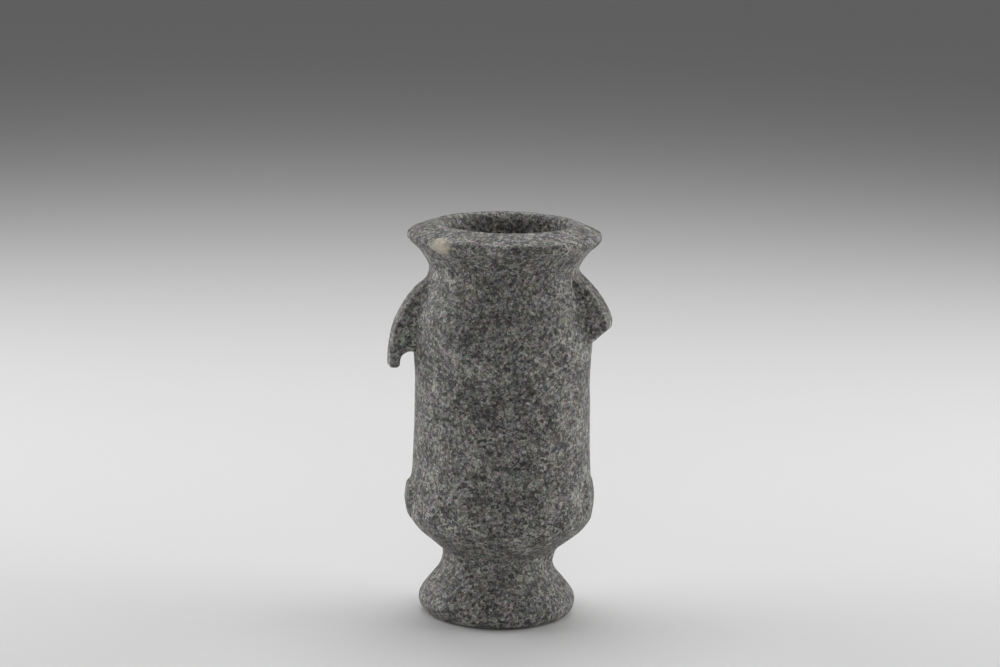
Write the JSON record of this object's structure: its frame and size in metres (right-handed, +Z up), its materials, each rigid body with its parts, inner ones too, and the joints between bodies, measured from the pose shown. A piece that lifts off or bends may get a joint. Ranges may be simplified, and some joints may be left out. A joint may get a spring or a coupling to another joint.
{
  "type": "stone vase",
  "caption": "Small carved granite vase with a flaring rim, a drilled hollow, a straight body on a spreading foot, and broken strap handles at its sides.",
  "frame": {"origin": "centre of the flat underside of the foot, on the turned axis", "axes": "+Z up along the turned axis, -Y towards the front, +X to the right, towards the shorter handle stump"},
  "size_m": [0.1124, 0.097, 0.2],
  "materials": {
    "granite": "dull, hand-rubbed, speckled grey granite"
  },
  "bodies": {
    "root": {"vase": "granite"}
  },
  "joints": []
}
